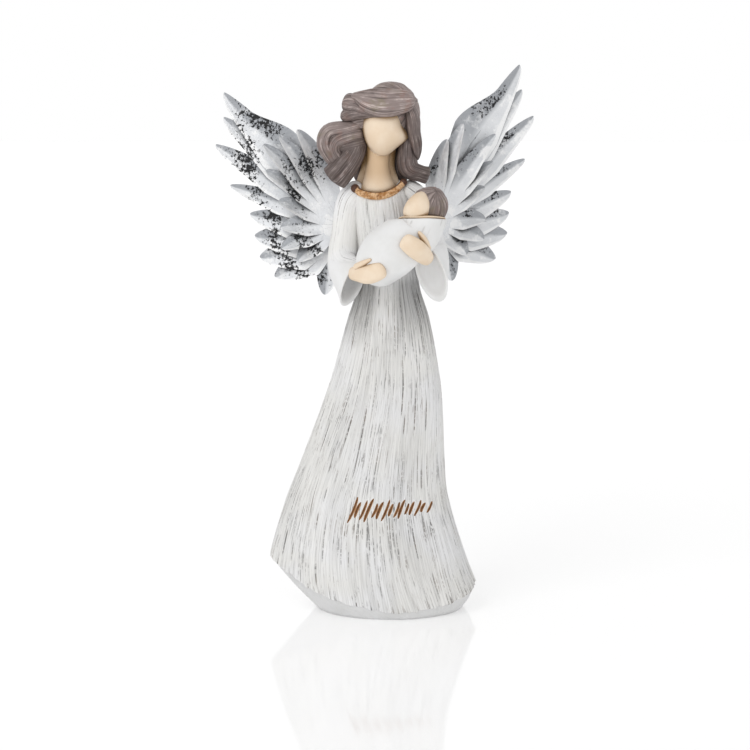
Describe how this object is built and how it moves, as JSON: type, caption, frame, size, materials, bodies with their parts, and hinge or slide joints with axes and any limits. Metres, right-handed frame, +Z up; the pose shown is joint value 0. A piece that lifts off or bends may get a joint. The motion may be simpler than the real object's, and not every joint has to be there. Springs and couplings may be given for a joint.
{
  "type": "angel figurine",
  "caption": "Standing angel figurine in a long distressed gown, cradling a swaddled baby, with silvered tin feather wings; stands on its flat foot.",
  "frame": {"origin": "middle of the flat foot, on its underside", "axes": "+Z up; the figure looks along -Y; +X is at the figure's left hand"},
  "size_m": [0.1294, 0.0643, 0.2171],
  "materials": {
    "painted_resin": "cast resin, painted white with a dark wash",
    "silvered_tin": "silver leaf over black, worn"
  },
  "bodies": {
    "root": {"figure": "painted_resin", "right_wing_short_feathers": "silvered_tin", "right_wing_long_feathers": "silvered_tin", "left_wing_short_feathers": "silvered_tin", "left_wing_long_feathers": "silvered_tin"}
  },
  "joints": []
}
